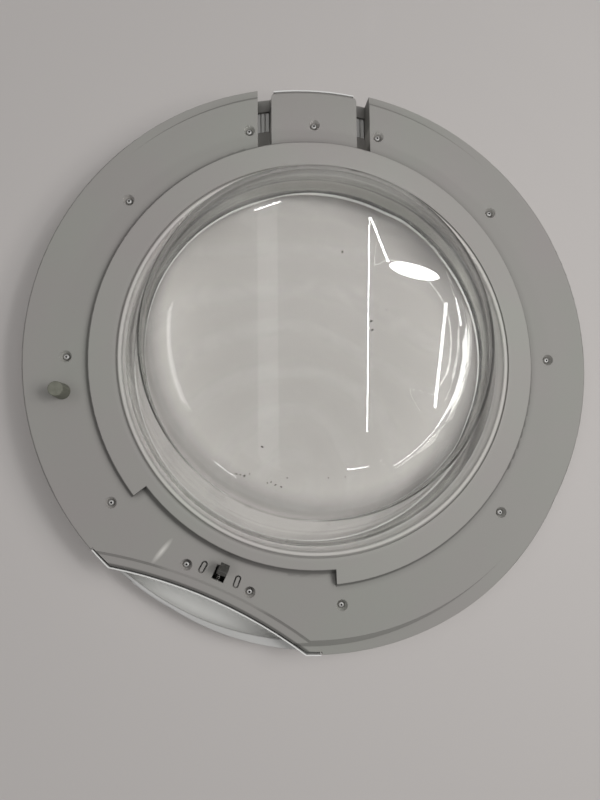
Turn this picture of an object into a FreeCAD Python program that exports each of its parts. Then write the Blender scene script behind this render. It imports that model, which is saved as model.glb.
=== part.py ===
"""Porthole door of a front-loading washing machine, lying on its front with the drum side up.

Lengths are in millimetres and angles in degrees, anticlockwise from +X seen from the drum side.
The origin is on the door's axis, on the surface that the front ring lies on. +Z points to the
drum side and +Y to the hinge.
"""
import FreeCAD
import Part
import math
import os

# Rear frame: the grey moulding, from the opening outwards
LIP_RADIUS = 152.5           # opening that the glass comes through
COLLAR_WIDTH = 27.5          # raised collar around the opening
FACE_WIDTH = 50.0            # flat face from the collar to the rim
WALL = 3.0                   # moulded wall of both frames
FRAME_DEPTH = 45.0           # from the surface to the flat rear face
SKIRT_DEPTH = 18.0           # rear face to the parting line
COLLAR_STEP = 5.0            # collar's outer edge above the rear face
LIP_RISE = 11.0              # lip above the rear face
LIP_ROUND = 1.8
BEAD_WIDTH = 4.2             # bead along the lip
BEAD_ROUND = 1.2
BEAD_GROOVE_WIDTH = 1.2      # groove outside the bead
BEAD_GROOVE_DEPTH = 1.0
COLLAR_FILLET = 3.4          # between the collar's outer wall and the rear face
EDGE_ROUND = 1.2
TONGUE_DEPTH = 5.0           # part of the skirt that nests inside the front ring
NEST_GAP = 0.3               # between mouldings that nest
NOTCH_DEPTH = 12.0           # collar set back beside the latch
NOTCH_FILLET = 6.2           # along the wall of the notch
NOTCH_START = 216.8
NOTCH_END = 274.0

# Rim ledge: the last stretch of the rear face, bent down towards the hinge and the latch side
LEDGE_WIDTH = 7.5
LEDGE_LEVEL = 160.0          # distance from the hinge-to-latch middle where it starts to bend
LEDGE_LATCH_BEND = 600.0     # radius of the bend on the latch side
LEDGE_HINGE_BEND = 1100.0
LEDGE_WALL_RUN = 1.4         # slope of the step down to the ledge, run for each unit of drop
RIM_BLOCK_DEPTH = 8.0        # thickened corner under the ledge

# Wider rim to the right of the latch: a smaller circle set off from the door's axis
BULGE_ANGLE = 286.0
BULGE_REACH = 5.5            # outside the round rim at its widest
BULGE_OFFSET = 18.0          # of its centre from the door's axis
BULGE_SLOPE = 0.8            # its run for each unit of drop, below the parting line

# Front ring: the white moulding
RIM_ROUND = 22.0
CROWN_ROUND = 6.0
BEVEL_WIDTH = 16.0           # slope from the crown up to the glass
SEAT_HEIGHT = 16.0           # where the glass is seated
WINDOW_REVEAL = 1.0          # window edge outside the inner face of the glass
RIB_HEIGHT = 8.0             # rib that centres the gasket
RIB_WIDTH = 2.5

# Glass bowl and its gasket
GLASS_THICKNESS = 5.0
GLASS_GAP = 1.0              # between the neck of the glass and the lip
FLANGE_OVERLAP = 14.0        # flange outside the lip
NECK_HEIGHT = 46.0           # where the neck turns into the cone
BOWL_HEIGHT = 115.0          # end face above the surface
CONE_ANGLE = 21.0
NECK_ROUND = 30.0
SHOULDER_ROUND = 34.0
FLANGE_ROUND = 3.0
BOWL_LEAN_X = -5.0           # offset of the end face from the axis
BOWL_LEAN_Y = 9.0
GASKET_THICKNESS = 2.0
GASKET_LEG = 11.0
GASKET_GAP = 0.2

# Hinge slots and the tab between them
TAB_WIDTH = 72.0
SLOT_WIDTH = 11.3
SLOT_WALL = 2.0
SLOT_SHELF_DEPTH = 20.0      # shelf in each slot below the rear face
SLOT_SHELF_LENGTH = 23.0
TAB_SETBACK = 4.0            # tab's edge inside the rim
TAB_CHAMFER = 1.6
TAB_CORNER = 4.0
TAB_WALL = 1.2               # wall of the front ring behind the tab
TAB_WALL_DROP = 1.5          # its top below the rear face
BRIDGE_WIDTH = 10.0          # low rim that closes each slot at the outside
BRIDGE_DROP = 0.5            # its top below the parting line
HINGE_RIBS = 3               # ribs of the front ring that show in each slot
HINGE_RIB_WIDTH = 3.0
HINGE_RIB_PITCH = 3.6
HINGE_RIB_DROP = 0.5         # their tops below the shelf
HINGE_INSET = 18.0           # hinge axis inside the rim
HINGE_DEPTH = 10.0           # hinge axis below the rear face
HINGE_BORE_RADIUS = 3.0
HINGE_BOSS_RADIUS = 6.0
HINGE_BOSS_LENGTH = 12.0

# Finger grip: the bite out of the rear frame
LATCH_ANGLE = 245.2
BITE_RADIUS = 390.0
BITE_DEPTH = 24.5            # deepest point inside the rim
BITE_BEVEL_WIDTH = 9.5
BITE_BEVEL_DROP = 2.0
BITE_STEP_RUN = 2.2          # steeper first stretch of the bevel
BITE_STEP_DROP = 1.4
GRIP_GAP = 1.0               # between the rear frame and the wall of the grip
GRIP_WALL = 1.0
GRIP_WALL_DROP = 1.5         # wall's top below the rear face
SHOULDER_START = 20.0        # stepped stretches beside the bite, from the latch axis
SHOULDER_END = 25.2
SHOULDER_STEP = 2.3
WING_END = 24.9              # where the grip's wall ends, along the shoulders
WING_ROOT = 1.5              # of the wall in the rim under it

# Screws
SCREW_INSET = 33.0
SCREW_ANGLES = (0.0, 40.0, 74.0, 90.0, 106.0, 140.0, 180.0, 215.0, 275.0, 320.0)
SCREW_RADIUS = 1.75
SCREW_LENGTH = 20.0
HEAD_RADIUS = 2.6
HEAD_HEIGHT = 2.5
HEAD_ROUND = 1.0
SOCKET_RADIUS = 1.0
SOCKET_DEPTH = 1.6
HEAD_RECESS = 2.0            # head's top below the rear face
RECESS_GAP = 0.2             # around the head
RECESS_FLARE = 1.7           # recess widens by this much up to the face
THREAD_GAP = 0.05
SHANK_GAP = 0.3
WELL_WALL = 2.2
BOSS_RADIUS = 4.0
BOSS_TIP_ROOM = 2.0

# Latch
LATCH_INSET = 43.9           # middle of the hook hole inside the rim
HOOK_HOLE_LENGTH = 11.4
HOOK_HOLE_WIDTH = 9.8
HOOK_WIDTH = 7.0
HOOK_STEM = 4.8
HOOK_STOP_GAP = 0.4          # between the hook at rest and the hole's inner edge
HOOK_HEIGHT = 18.0           # above the rear face
CLAW_REACH = 4.6
CLAW_HEIGHT = 9.0
CLAW_THICKNESS = 3.5
HOOK_CREST = 1.4             # crest of the claw outside the stem's inner face
HOOK_ROUND = 1.2
PIVOT_DEPTH = 17.0           # pin below the rear face
PIN_RADIUS = 1.5
PIN_GAP = 0.05
PIN_SEAT_GAP = 0.02
PIVOT_BOSS_RADIUS = 4.5
PIVOT_ROOM = 0.8             # around the hook's boss
HOUSING_WALL = 2.0
SPRING_POCKET = 2.8          # housing's outer wall past the hole's outer edge
SPRING_DEPTH = 6.2           # spring's axis below the rear face
SPRING_RADIUS = 2.4
SPRING_WIRE = 0.4            # radius of the wire
SPRING_TURNS = 6
SPRING_SEAT_GAP = 0.1
LATCH_SCREW_INSET = 38.0
LATCH_SCREW_ANGLE = 8.0      # each side of the latch axis
EAR_THICKNESS = 4.0
EAR_MARGIN = 1.5             # ear around its screw boss
POCKET_INSET = 42.8          # oval pockets beside the hook
POCKET_ANGLE = 4.4
POCKET_LENGTH = 10.0
POCKET_WIDTH = 4.8
POCKET_DEPTH = 2.2
POCKET_GROOVE = 1.1          # around the island in each pocket

# Rubber buffer
BUFFER_INSET = 29.0
BUFFER_ANGLE = 187.8
BUFFER_RADIUS = 6.2
BUFFER_HEIGHT = 21.5         # above the rear face
BUFFER_TAPER = 0.6
BUFFER_ROUND = 1.0
BUFFER_NECK_RADIUS = 3.0
BUFFER_NECK_GAP = 0.05
BARB_RADIUS = 4.0
BARB_LENGTH = 5.0

# Sizes that follow from the ones above
COLLAR_RADIUS = LIP_RADIUS + COLLAR_WIDTH
DOOR_RADIUS = COLLAR_RADIUS + FACE_WIDTH
RIM_INNER_RADIUS = DOOR_RADIUS - WALL
NEST_RADIUS = RIM_INNER_RADIUS - NEST_GAP
PARTING_HEIGHT = FRAME_DEPTH - SKIRT_DEPTH
PLATE_BOTTOM = FRAME_DEPTH - WALL
ABOVE_ALL = BOWL_HEIGHT + FRAME_DEPTH
PAST_RIM = 2 * DOOR_RADIUS
LIP_HEIGHT = FRAME_DEPTH + LIP_RISE
COLLAR_SLOPE = (LIP_RISE - COLLAR_STEP) / COLLAR_WIDTH
BEAD_RADIUS = LIP_RADIUS + BEAD_WIDTH
GROOVE_RADIUS = BEAD_RADIUS + BEAD_GROOVE_WIDTH
LEDGE_RADIUS = DOOR_RADIUS - LEDGE_WIDTH

BULGE_RADIUS = DOOR_RADIUS + BULGE_REACH - BULGE_OFFSET
BULGE_X = BULGE_OFFSET * math.cos(math.radians(BULGE_ANGLE))
BULGE_Y = BULGE_OFFSET * math.sin(math.radians(BULGE_ANGLE))

SHELF_TOP = FRAME_DEPTH - SLOT_SHELF_DEPTH
SHELF_RADIUS = COLLAR_RADIUS + SLOT_SHELF_LENGTH
BRIDGE_RADIUS = DOOR_RADIUS - BRIDGE_WIDTH
BRIDGE_TOP = PARTING_HEIGHT - BRIDGE_DROP
BRIDGE_BOTTOM = PARTING_HEIGHT - TONGUE_DEPTH

FLANGE_RADIUS = LIP_RADIUS + FLANGE_OVERLAP
FLANGE_BOTTOM = SEAT_HEIGHT + GASKET_THICKNESS
FLANGE_TOP = FLANGE_BOTTOM + GLASS_THICKNESS
GASKET_RADIUS = FLANGE_RADIUS + GASKET_GAP + GASKET_THICKNESS
FOOT_BOTTOM = FLANGE_TOP + GASKET_THICKNESS
NECK_RADIUS = LIP_RADIUS - GLASS_GAP
WINDOW_RADIUS = NECK_RADIUS - GLASS_THICKNESS + WINDOW_REVEAL
RIB_RADIUS = GASKET_RADIUS + NEST_GAP
BEVEL_RADIUS = RIB_RADIUS + RIB_WIDTH
CROWN_RADIUS = BEVEL_RADIUS + BEVEL_WIDTH

SCREW_CIRCLE = DOOR_RADIUS - SCREW_INSET
HEAD_SEAT = FRAME_DEPTH - HEAD_RECESS - HEAD_HEIGHT
WELL_BOTTOM = HEAD_SEAT - WALL
RECESS_RADIUS = HEAD_RADIUS + RECESS_GAP
WELL_RADIUS = RECESS_RADIUS + WELL_WALL
SCREW_TIP = HEAD_SEAT - SCREW_LENGTH

BITE_DISTANCE = DOOR_RADIUS - BITE_DEPTH + BITE_RADIUS
BITE_X = BITE_DISTANCE * math.cos(math.radians(LATCH_ANGLE))
BITE_Y = BITE_DISTANCE * math.sin(math.radians(LATCH_ANGLE))
GRIP_RADIUS = BITE_RADIUS - GRIP_GAP - GRIP_WALL
GRIP_TOP = FRAME_DEPTH - GRIP_WALL_DROP

LATCH_RADIUS = DOOR_RADIUS - LATCH_INSET
LATCH_SCREW_CIRCLE = DOOR_RADIUS - LATCH_SCREW_INSET
STEM_INNER = LATCH_RADIUS - HOOK_HOLE_LENGTH / 2 + HOOK_STOP_GAP
STEM_OUTER = STEM_INNER + HOOK_STEM
PIVOT_RADIUS = STEM_INNER + HOOK_STEM / 2
PIVOT_HEIGHT = FRAME_DEPTH - PIVOT_DEPTH
CAVITY_INNER = PIVOT_RADIUS - PIVOT_BOSS_RADIUS - PIVOT_ROOM
CAVITY_OUTER = LATCH_RADIUS + HOOK_HOLE_LENGTH / 2 + SPRING_POCKET
CAVITY_FLOOR = PIVOT_HEIGHT - PIVOT_BOSS_RADIUS - PIVOT_ROOM
HOUSING_HALF_WIDTH = HOOK_HOLE_WIDTH / 2 + HOUSING_WALL

ORIGIN = FreeCAD.Vector(0, 0, 0)
UP = FreeCAD.Vector(0, 0, 1)
SAME_PLACE = 1e-6


def outline(corners):
    """Face in the XZ plane through the corners (x, z) or (x, z, rounding radius).

    Two roundings that need more than the side between them share it.
    """
    count = len(corners)
    points = [FreeCAD.Vector(corner[0], 0, corner[1]) for corner in corners]
    sides = [points[(index + 1) % count] - points[index] for index in range(count)]
    halves = [(sides[index - 1] * -1).getAngle(sides[index]) / 2 for index in range(count)]
    reaches = []
    for corner, half in zip(corners, halves):
        radius = corner[2] if len(corner) == 3 else 0.0
        reaches.append(radius / math.tan(half))
    shares = []
    for index, side in enumerate(sides):
        needed = reaches[index] + reaches[(index + 1) % count]
        shares.append(min(1.0, side.Length / max(needed, SAME_PLACE)))

    stretches = []
    for index, here in enumerate(points):
        reach = reaches[index] * min(shares[index - 1], shares[index])
        if reach < SAME_PLACE:
            stretches.append((here,))
            continue
        radius = reach * math.tan(halves[index])
        back = sides[index - 1] * (-1 / sides[index - 1].Length)
        ahead = sides[index] * (1 / sides[index].Length)
        middle = (back + ahead).normalize()
        crest = here + middle * (radius / math.sin(halves[index]) - radius)
        stretches.append((here + back * reach, crest, here + ahead * reach))

    edges = []
    for index, stretch in enumerate(stretches):
        if len(stretch) == 3:
            edges.append(Part.Arc(*stretch).toShape())
        start = stretch[-1]
        end = stretches[(index + 1) % count][0]
        if start.distanceToPoint(end) > SAME_PLACE:
            edges.append(Part.LineSegment(start, end).toShape())
    return Part.Face(Part.Wire(edges))


def turned(corners, x=0.0, y=0.0):
    """Solid turned about an upright axis from an outline of (radius, height) corners."""
    solid = outline(corners).revolve(ORIGIN, UP, 360)
    solid.translate(FreeCAD.Vector(x, y, 0))
    return solid


def disc(radius, bottom, top, x=0.0, y=0.0):
    """Upright cylinder."""
    return Part.makeCylinder(radius, top - bottom, FreeCAD.Vector(x, y, bottom))


def tube(inner, outer, bottom, top, x=0.0, y=0.0):
    """Upright tube."""
    return disc(outer, bottom, top, x, y).cut(disc(inner, bottom, top, x, y))


def block(x, y, z):
    """Box between the low and high values of each axis."""
    corner = FreeCAD.Vector(x[0], y[0], z[0])
    return Part.makeBox(x[1] - x[0], y[1] - y[0], z[1] - z[0], corner)


def wedge(start, end):
    """Upright sector of the whole door between two angles."""
    return turned_to(Part.makeCylinder(PAST_RIM, ABOVE_ALL, ORIGIN, UP, end - start), start)


def turned_to(shape, angle):
    """Copy of a shape turned about the door's axis."""
    copy = shape.copy()
    copy.rotate(ORIGIN, UP, angle)
    return copy


def at_angle(radius, angle):
    """Place on a circle about the door's axis."""
    turn = math.radians(angle)
    return radius * math.cos(turn), radius * math.sin(turn)


def joined(first, others):
    """One solid from pieces that meet."""
    return first.multiFuse(others).removeSplitter()


def frame_screw_places():
    return [at_angle(SCREW_CIRCLE, angle) for angle in SCREW_ANGLES]


def latch_screw_places():
    return [at_angle(LATCH_SCREW_CIRCLE, LATCH_ANGLE + side * LATCH_SCREW_ANGLE) for side in (-1, 1)]


def round_door_room():
    """Cylinder just inside the round rim, which the wider rim is fused around."""
    return disc(DOOR_RADIUS - WALL / 2, 0, ABOVE_ALL)


def front_bulge():
    """Wider rim up to the parting line, flaring out of the round one."""
    foot = BULGE_RADIUS - BULGE_SLOPE * PARTING_HEIGHT
    return Part.makeCone(foot, BULGE_RADIUS, PARTING_HEIGHT, FreeCAD.Vector(BULGE_X, BULGE_Y, 0))


def rear_bulge():
    """Wider rim from the parting line to the rear face."""
    return turned([
        (0, PARTING_HEIGHT),
        (BULGE_RADIUS, PARTING_HEIGHT),
        (BULGE_RADIUS, FRAME_DEPTH, EDGE_ROUND),
        (0, FRAME_DEPTH),
    ], BULGE_X, BULGE_Y)


def within_rim():
    """Room for what stands on the front ring, down to the middle of its wall."""
    return turned([
        (0, WALL / 2),
        (DOOR_RADIUS, WALL / 2, RIM_ROUND - WALL / 2),
        (DOOR_RADIUS, FRAME_DEPTH),
        (0, FRAME_DEPTH),
    ])


def grip_wall():
    """Wall of the finger grip behind the bite, and its ends along the shoulders."""
    rim = joined(within_rim(), [front_bulge(), rear_bulge()])
    wall = tube(GRIP_RADIUS, GRIP_RADIUS + GRIP_WALL, WALL / 2, GRIP_TOP, BITE_X, BITE_Y).common(rim)
    low = PARTING_HEIGHT - WING_ROOT
    left = tube(DOOR_RADIUS - GRIP_WALL, DOOR_RADIUS, low, GRIP_TOP)
    left = left.common(wedge(LATCH_ANGLE - WING_END, LATCH_ANGLE - SHOULDER_START))
    right = tube(BULGE_RADIUS - GRIP_WALL, BULGE_RADIUS, low, GRIP_TOP, BULGE_X, BULGE_Y)
    right = right.common(wedge(LATCH_ANGLE + SHOULDER_START, LATCH_ANGLE + WING_END))
    grip_room = disc(GRIP_RADIUS, 0, ABOVE_ALL, BITE_X, BITE_Y)
    return [wall, left.cut(grip_room), right.cut(grip_room)]


def tab_wall():
    """Wall of the front ring that shows behind the tab."""
    low = PARTING_HEIGHT - WING_ROOT
    wall = tube(RIM_INNER_RADIUS, RIM_INNER_RADIUS + TAB_WALL, low, FRAME_DEPTH - TAB_WALL_DROP)
    half = TAB_WIDTH / 2 - TAB_CORNER / 2
    return wall.common(block((-half, half), (0, PAST_RIM), (0, ABOVE_ALL)))


def hinge_ribs(side):
    """Ribs of the front ring that stand in one hinge slot, between its shelf and its bridge."""
    band = tube(SHELF_RADIUS + NEST_GAP, BRIDGE_RADIUS - NEST_GAP, WALL / 2, SHELF_TOP - HINGE_RIB_DROP)
    band = band.common(within_rim())
    slot_middle = side * (TAB_WIDTH + SLOT_WIDTH) / 2
    ribs = []
    for index in range(HINGE_RIBS):
        low = slot_middle + (index - (HINGE_RIBS - 1) / 2) * HINGE_RIB_PITCH - HINGE_RIB_WIDTH / 2
        ribs.append(band.common(block((low, low + HINGE_RIB_WIDTH), (0, PAST_RIM), (0, ABOVE_ALL))))
    return ribs


def front_ring():
    """White ring: rounded rim, flat crown, bevel, glass seat, screw bosses, hinge ribs and grip wall."""
    bevel_top = SEAT_HEIGHT - WALL
    ring = turned([
        (DOOR_RADIUS, PARTING_HEIGHT, EDGE_ROUND),
        (DOOR_RADIUS, 0, RIM_ROUND),
        (CROWN_RADIUS, 0, CROWN_ROUND),
        (BEVEL_RADIUS, bevel_top, CROWN_ROUND),
        (WINDOW_RADIUS, bevel_top, EDGE_ROUND),
        (WINDOW_RADIUS, SEAT_HEIGHT, EDGE_ROUND),
        (RIB_RADIUS, SEAT_HEIGHT),
        (RIB_RADIUS, SEAT_HEIGHT + RIB_HEIGHT),
        (BEVEL_RADIUS, SEAT_HEIGHT + RIB_HEIGHT),
        (BEVEL_RADIUS, SEAT_HEIGHT),
        (CROWN_RADIUS + WALL / 2, WALL, CROWN_ROUND),
        (RIM_INNER_RADIUS, WALL, RIM_ROUND - WALL),
        (RIM_INNER_RADIUS, PARTING_HEIGHT, EDGE_ROUND),
    ])
    ring = joined(ring, [front_bulge().cut(round_door_room())])
    additions = grip_wall() + [tab_wall()]
    for side in (-1, 1):
        ring = ring.cut(slot_box(side, SLOT_WALL + NEST_GAP, BRIDGE_BOTTOM - NEST_GAP, ABOVE_ALL))
        additions += hinge_ribs(side)
    holes = []
    for x, y in frame_screw_places():
        additions.append(disc(BOSS_RADIUS, WALL / 2, WELL_BOTTOM, x, y))
        holes.append(disc(SCREW_RADIUS + THREAD_GAP, SCREW_TIP - BOSS_TIP_ROOM, WELL_BOTTOM, x, y))
    return joined(ring, additions).cut(Part.makeCompound(holes))


def rear_ring(collar_radius, fillet):
    """Rear frame before its cuts, with the collar's outer wall and its fillet at a given radius."""
    collar_height = LIP_HEIGHT - COLLAR_SLOPE * (collar_radius - LIP_RADIUS)
    groove_edge = LIP_HEIGHT - COLLAR_SLOPE * (GROOVE_RADIUS - LIP_RADIUS)
    tube_outer = LIP_RADIUS + WALL
    return turned([
        (LIP_RADIUS, FOOT_BOTTOM),
        (LIP_RADIUS, LIP_HEIGHT, LIP_ROUND),
        (BEAD_RADIUS, LIP_HEIGHT, BEAD_ROUND),
        (BEAD_RADIUS, groove_edge - BEAD_GROOVE_DEPTH),
        (GROOVE_RADIUS, groove_edge - BEAD_GROOVE_DEPTH),
        (GROOVE_RADIUS, groove_edge),
        (collar_radius, collar_height, EDGE_ROUND),
        (collar_radius, FRAME_DEPTH, fillet),
        (DOOR_RADIUS, FRAME_DEPTH, EDGE_ROUND),
        (DOOR_RADIUS, PARTING_HEIGHT),
        (NEST_RADIUS, PARTING_HEIGHT),
        (NEST_RADIUS, PARTING_HEIGHT - TONGUE_DEPTH),
        (NEST_RADIUS - WALL, PARTING_HEIGHT - TONGUE_DEPTH),
        (NEST_RADIUS - WALL, FRAME_DEPTH - RIM_BLOCK_DEPTH),
        (LEDGE_RADIUS - WALL, FRAME_DEPTH - RIM_BLOCK_DEPTH),
        (LEDGE_RADIUS - WALL, PLATE_BOTTOM),
        (collar_radius - WALL, PLATE_BOTTOM),
        (collar_radius - WALL, collar_height - WALL),
        (tube_outer, LIP_HEIGHT - WALL),
        (tube_outer, FOOT_BOTTOM + WALL),
        (GASKET_RADIUS, FOOT_BOTTOM + WALL),
        (GASKET_RADIUS, FOOT_BOTTOM),
    ])


def notch_ends():
    """Radial walls that close the collar where the notch cuts it."""
    inner = COLLAR_RADIUS - NOTCH_DEPTH - WALL
    band = turned([
        (inner, PLATE_BOTTOM),
        (COLLAR_RADIUS, PLATE_BOTTOM),
        (COLLAR_RADIUS, FRAME_DEPTH + COLLAR_STEP, EDGE_ROUND),
        (inner, LIP_HEIGHT - COLLAR_SLOPE * (inner - LIP_RADIUS)),
    ])
    spread = math.degrees(WALL / COLLAR_RADIUS)
    return [
        band.common(wedge(NOTCH_START - spread, NOTCH_START)),
        band.common(wedge(NOTCH_END, NOTCH_END + spread)),
    ]


def slot_box(side, margin, bottom, top):
    """Box over one hinge slot, from the collar out past the rim, wider by a margin on each side."""
    near = TAB_WIDTH / 2 - margin
    far = TAB_WIDTH / 2 + SLOT_WIDTH + margin
    x = (near, far) if side > 0 else (-far, -near)
    return block(x, (0, PAST_RIM), (bottom, top))


def slot_walls(side):
    """Walls, shelf and bridge around one hinge slot, before the slot is cut."""
    shelf_bottom = SHELF_TOP - SLOT_WALL
    body = turned([
        (COLLAR_RADIUS - SLOT_WALL, shelf_bottom),
        (NEST_RADIUS, shelf_bottom),
        (NEST_RADIUS, PARTING_HEIGHT),
        (DOOR_RADIUS, PARTING_HEIGHT),
        (DOOR_RADIUS, FRAME_DEPTH, EDGE_ROUND),
        (COLLAR_RADIUS - SLOT_WALL, FRAME_DEPTH),
    ])
    bridge = tube(BRIDGE_RADIUS, DOOR_RADIUS, BRIDGE_BOTTOM, PARTING_HEIGHT)
    return joined(body, [bridge]).common(slot_box(side, SLOT_WALL, 0, ABOVE_ALL))


def slot_cut(side):
    """Space of one hinge slot: over its shelf and its bridge, right through between them."""
    over_shelf = slot_box(side, 0, SHELF_TOP, ABOVE_ALL).cut(disc(COLLAR_RADIUS, 0, ABOVE_ALL))
    over_shelf = over_shelf.cut(tube(BRIDGE_RADIUS, PAST_RIM, 0, BRIDGE_TOP))
    through = slot_box(side, 0, 0, ABOVE_ALL).common(tube(SHELF_RADIUS, BRIDGE_RADIUS, 0, ABOVE_ALL))
    return over_shelf.fuse(through)


def hinge_seat(side):
    """Boss inside the tab and its bore, which opens into the slot."""
    inner = TAB_WIDTH / 2 - HINGE_BOSS_LENGTH
    place = FreeCAD.Vector(side * inner, DOOR_RADIUS - HINGE_INSET, FRAME_DEPTH - HINGE_DEPTH)
    along = FreeCAD.Vector(side, 0, 0)
    boss = Part.makeCylinder(HINGE_BOSS_RADIUS, HINGE_BOSS_LENGTH, place, along)
    bore = Part.makeCylinder(HINGE_BORE_RADIUS, HINGE_BOSS_LENGTH, place, along)
    return boss, bore


def tab_edge():
    """What is taken off the rim of the tab: its setback, its chamfer and its corners."""
    edge = DOOR_RADIUS - TAB_SETBACK
    half = TAB_WIDTH / 2
    outside = turned([
        (edge, PARTING_HEIGHT),
        (PAST_RIM, PARTING_HEIGHT),
        (PAST_RIM, ABOVE_ALL),
        (edge - TAB_CHAMFER, ABOVE_ALL),
        (edge - TAB_CHAMFER, FRAME_DEPTH),
        (edge, FRAME_DEPTH - TAB_CHAMFER / 2),
    ])
    cuts = [outside.common(block((-half, half), (0, PAST_RIM), (0, ABOVE_ALL)))]
    centre_y = math.sqrt(edge ** 2 - half ** 2) - TAB_CORNER
    for side in (-1, 1):
        centre_x = side * (half - TAB_CORNER)
        ends = sorted((centre_x, side * half))
        corner = block(ends, (centre_y, PAST_RIM), (PARTING_HEIGHT, ABOVE_ALL))
        cuts.append(corner.cut(disc(TAB_CORNER, 0, ABOVE_ALL, centre_x, centre_y)))
    return cuts


def above_bend(bend):
    """Space over a large cylinder that lies along X and dips towards +Y from the ledge's level."""
    start = FreeCAD.Vector(-DOOR_RADIUS, LEDGE_LEVEL, FRAME_DEPTH)
    reach = DOOR_RADIUS + BULGE_REACH - LEDGE_LEVEL
    bent = []
    for along in (reach / 2, reach):
        drop = bend - math.sqrt(bend ** 2 - along ** 2)
        bent.append(start + FreeCAD.Vector(0, along, -drop))
    over_end = FreeCAD.Vector(-DOOR_RADIUS, LEDGE_LEVEL + reach, ABOVE_ALL)
    over_start = FreeCAD.Vector(-DOOR_RADIUS, LEDGE_LEVEL, ABOVE_ALL)
    edges = [
        Part.Arc(start, bent[0], bent[1]).toShape(),
        Part.LineSegment(bent[1], over_end).toShape(),
        Part.LineSegment(over_end, over_start).toShape(),
        Part.LineSegment(over_start, start).toShape(),
    ]
    return Part.Face(Part.Wire(edges)).extrude(FreeCAD.Vector(2 * DOOR_RADIUS, 0, 0))


def ledge_cuts():
    """What is taken off the rim ledge on the hinge side and on the latch side, with a sloped step."""
    low = FRAME_DEPTH - RIM_BLOCK_DEPTH
    foot = LEDGE_RADIUS + LEDGE_WALL_RUN * RIM_BLOCK_DEPTH
    kept = Part.makeCone(foot, LEDGE_RADIUS, RIM_BLOCK_DEPTH, FreeCAD.Vector(0, 0, low))
    kept = kept.fuse(disc(LEDGE_RADIUS, FRAME_DEPTH, ABOVE_ALL))
    tab = block((-TAB_WIDTH / 2, TAB_WIDTH / 2), (0, PAST_RIM), (0, ABOVE_ALL))
    hinge_side = above_bend(LEDGE_HINGE_BEND).cut(tab)
    latch_side = turned_to(above_bend(LEDGE_LATCH_BEND), 180)
    return [hinge_side.cut(kept), latch_side.cut(kept)]


def bite_bevel():
    """Slope along the bite with a steeper first stretch, turned about the bite's own axis."""
    top = BITE_RADIUS + BITE_BEVEL_WIDTH
    return turned([
        (BITE_RADIUS, FRAME_DEPTH - BITE_BEVEL_DROP),
        (top - BITE_STEP_RUN, FRAME_DEPTH - BITE_STEP_DROP),
        (top, FRAME_DEPTH),
        (top, FRAME_DEPTH + BITE_BEVEL_DROP),
        (BITE_RADIUS, FRAME_DEPTH + BITE_BEVEL_DROP),
    ], BITE_X, BITE_Y)


def screw_wells(places):
    """Wells under the rear face, their recesses and the clearance holes in their floors."""
    wells = []
    cuts = []
    for x, y in places:
        wells.append(disc(WELL_RADIUS, WELL_BOTTOM, FRAME_DEPTH, x, y))
        mouth = FreeCAD.Vector(x, y, HEAD_SEAT)
        depth = FRAME_DEPTH - HEAD_SEAT
        cuts.append(Part.makeCone(RECESS_RADIUS, RECESS_RADIUS + RECESS_FLARE, depth, mouth))
        cuts.append(disc(SCREW_RADIUS + SHANK_GAP, WELL_BOTTOM, HEAD_SEAT, x, y))
    return wells, cuts


def oval(length, width, bottom, top):
    """Upright bar with round ends, along the radius through the pockets beside the hook."""
    middle = DOOR_RADIUS - POCKET_INSET
    ends = (middle - (length - width) / 2, middle + (length - width) / 2)
    bar = block(ends, (-width / 2, width / 2), (bottom, top))
    return joined(bar, [disc(width / 2, bottom, top, end) for end in ends])


def latch_cuts():
    """Hook hole, and the grooves around the oval islands beside it."""
    half_length = HOOK_HOLE_LENGTH / 2
    half_width = HOOK_HOLE_WIDTH / 2
    length = (LATCH_RADIUS - half_length, LATCH_RADIUS + half_length)
    hole = block(length, (-half_width, half_width), (0, ABOVE_ALL))
    low = FRAME_DEPTH - POCKET_DEPTH
    island = oval(POCKET_LENGTH - 2 * POCKET_GROOVE, POCKET_WIDTH - 2 * POCKET_GROOVE, low, FRAME_DEPTH)
    groove = oval(POCKET_LENGTH, POCKET_WIDTH, low, FRAME_DEPTH).cut(island)
    cuts = [turned_to(hole, LATCH_ANGLE)]
    for side in (-1, 1):
        cuts.append(turned_to(groove, LATCH_ANGLE + side * POCKET_ANGLE))
    return cuts


def shoulder_cuts():
    """Steps in the rim beside the bite, where the grip's wall comes round."""
    left = tube(DOOR_RADIUS - SHOULDER_STEP, PAST_RIM, 0, ABOVE_ALL)
    right = tube(BULGE_RADIUS - SHOULDER_STEP, PAST_RIM, 0, ABOVE_ALL, BULGE_X, BULGE_Y)
    return [
        left.common(wedge(LATCH_ANGLE - SHOULDER_END, LATCH_ANGLE - SHOULDER_START)),
        right.common(wedge(LATCH_ANGLE + SHOULDER_START, LATCH_ANGLE + SHOULDER_END)),
    ]


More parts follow.
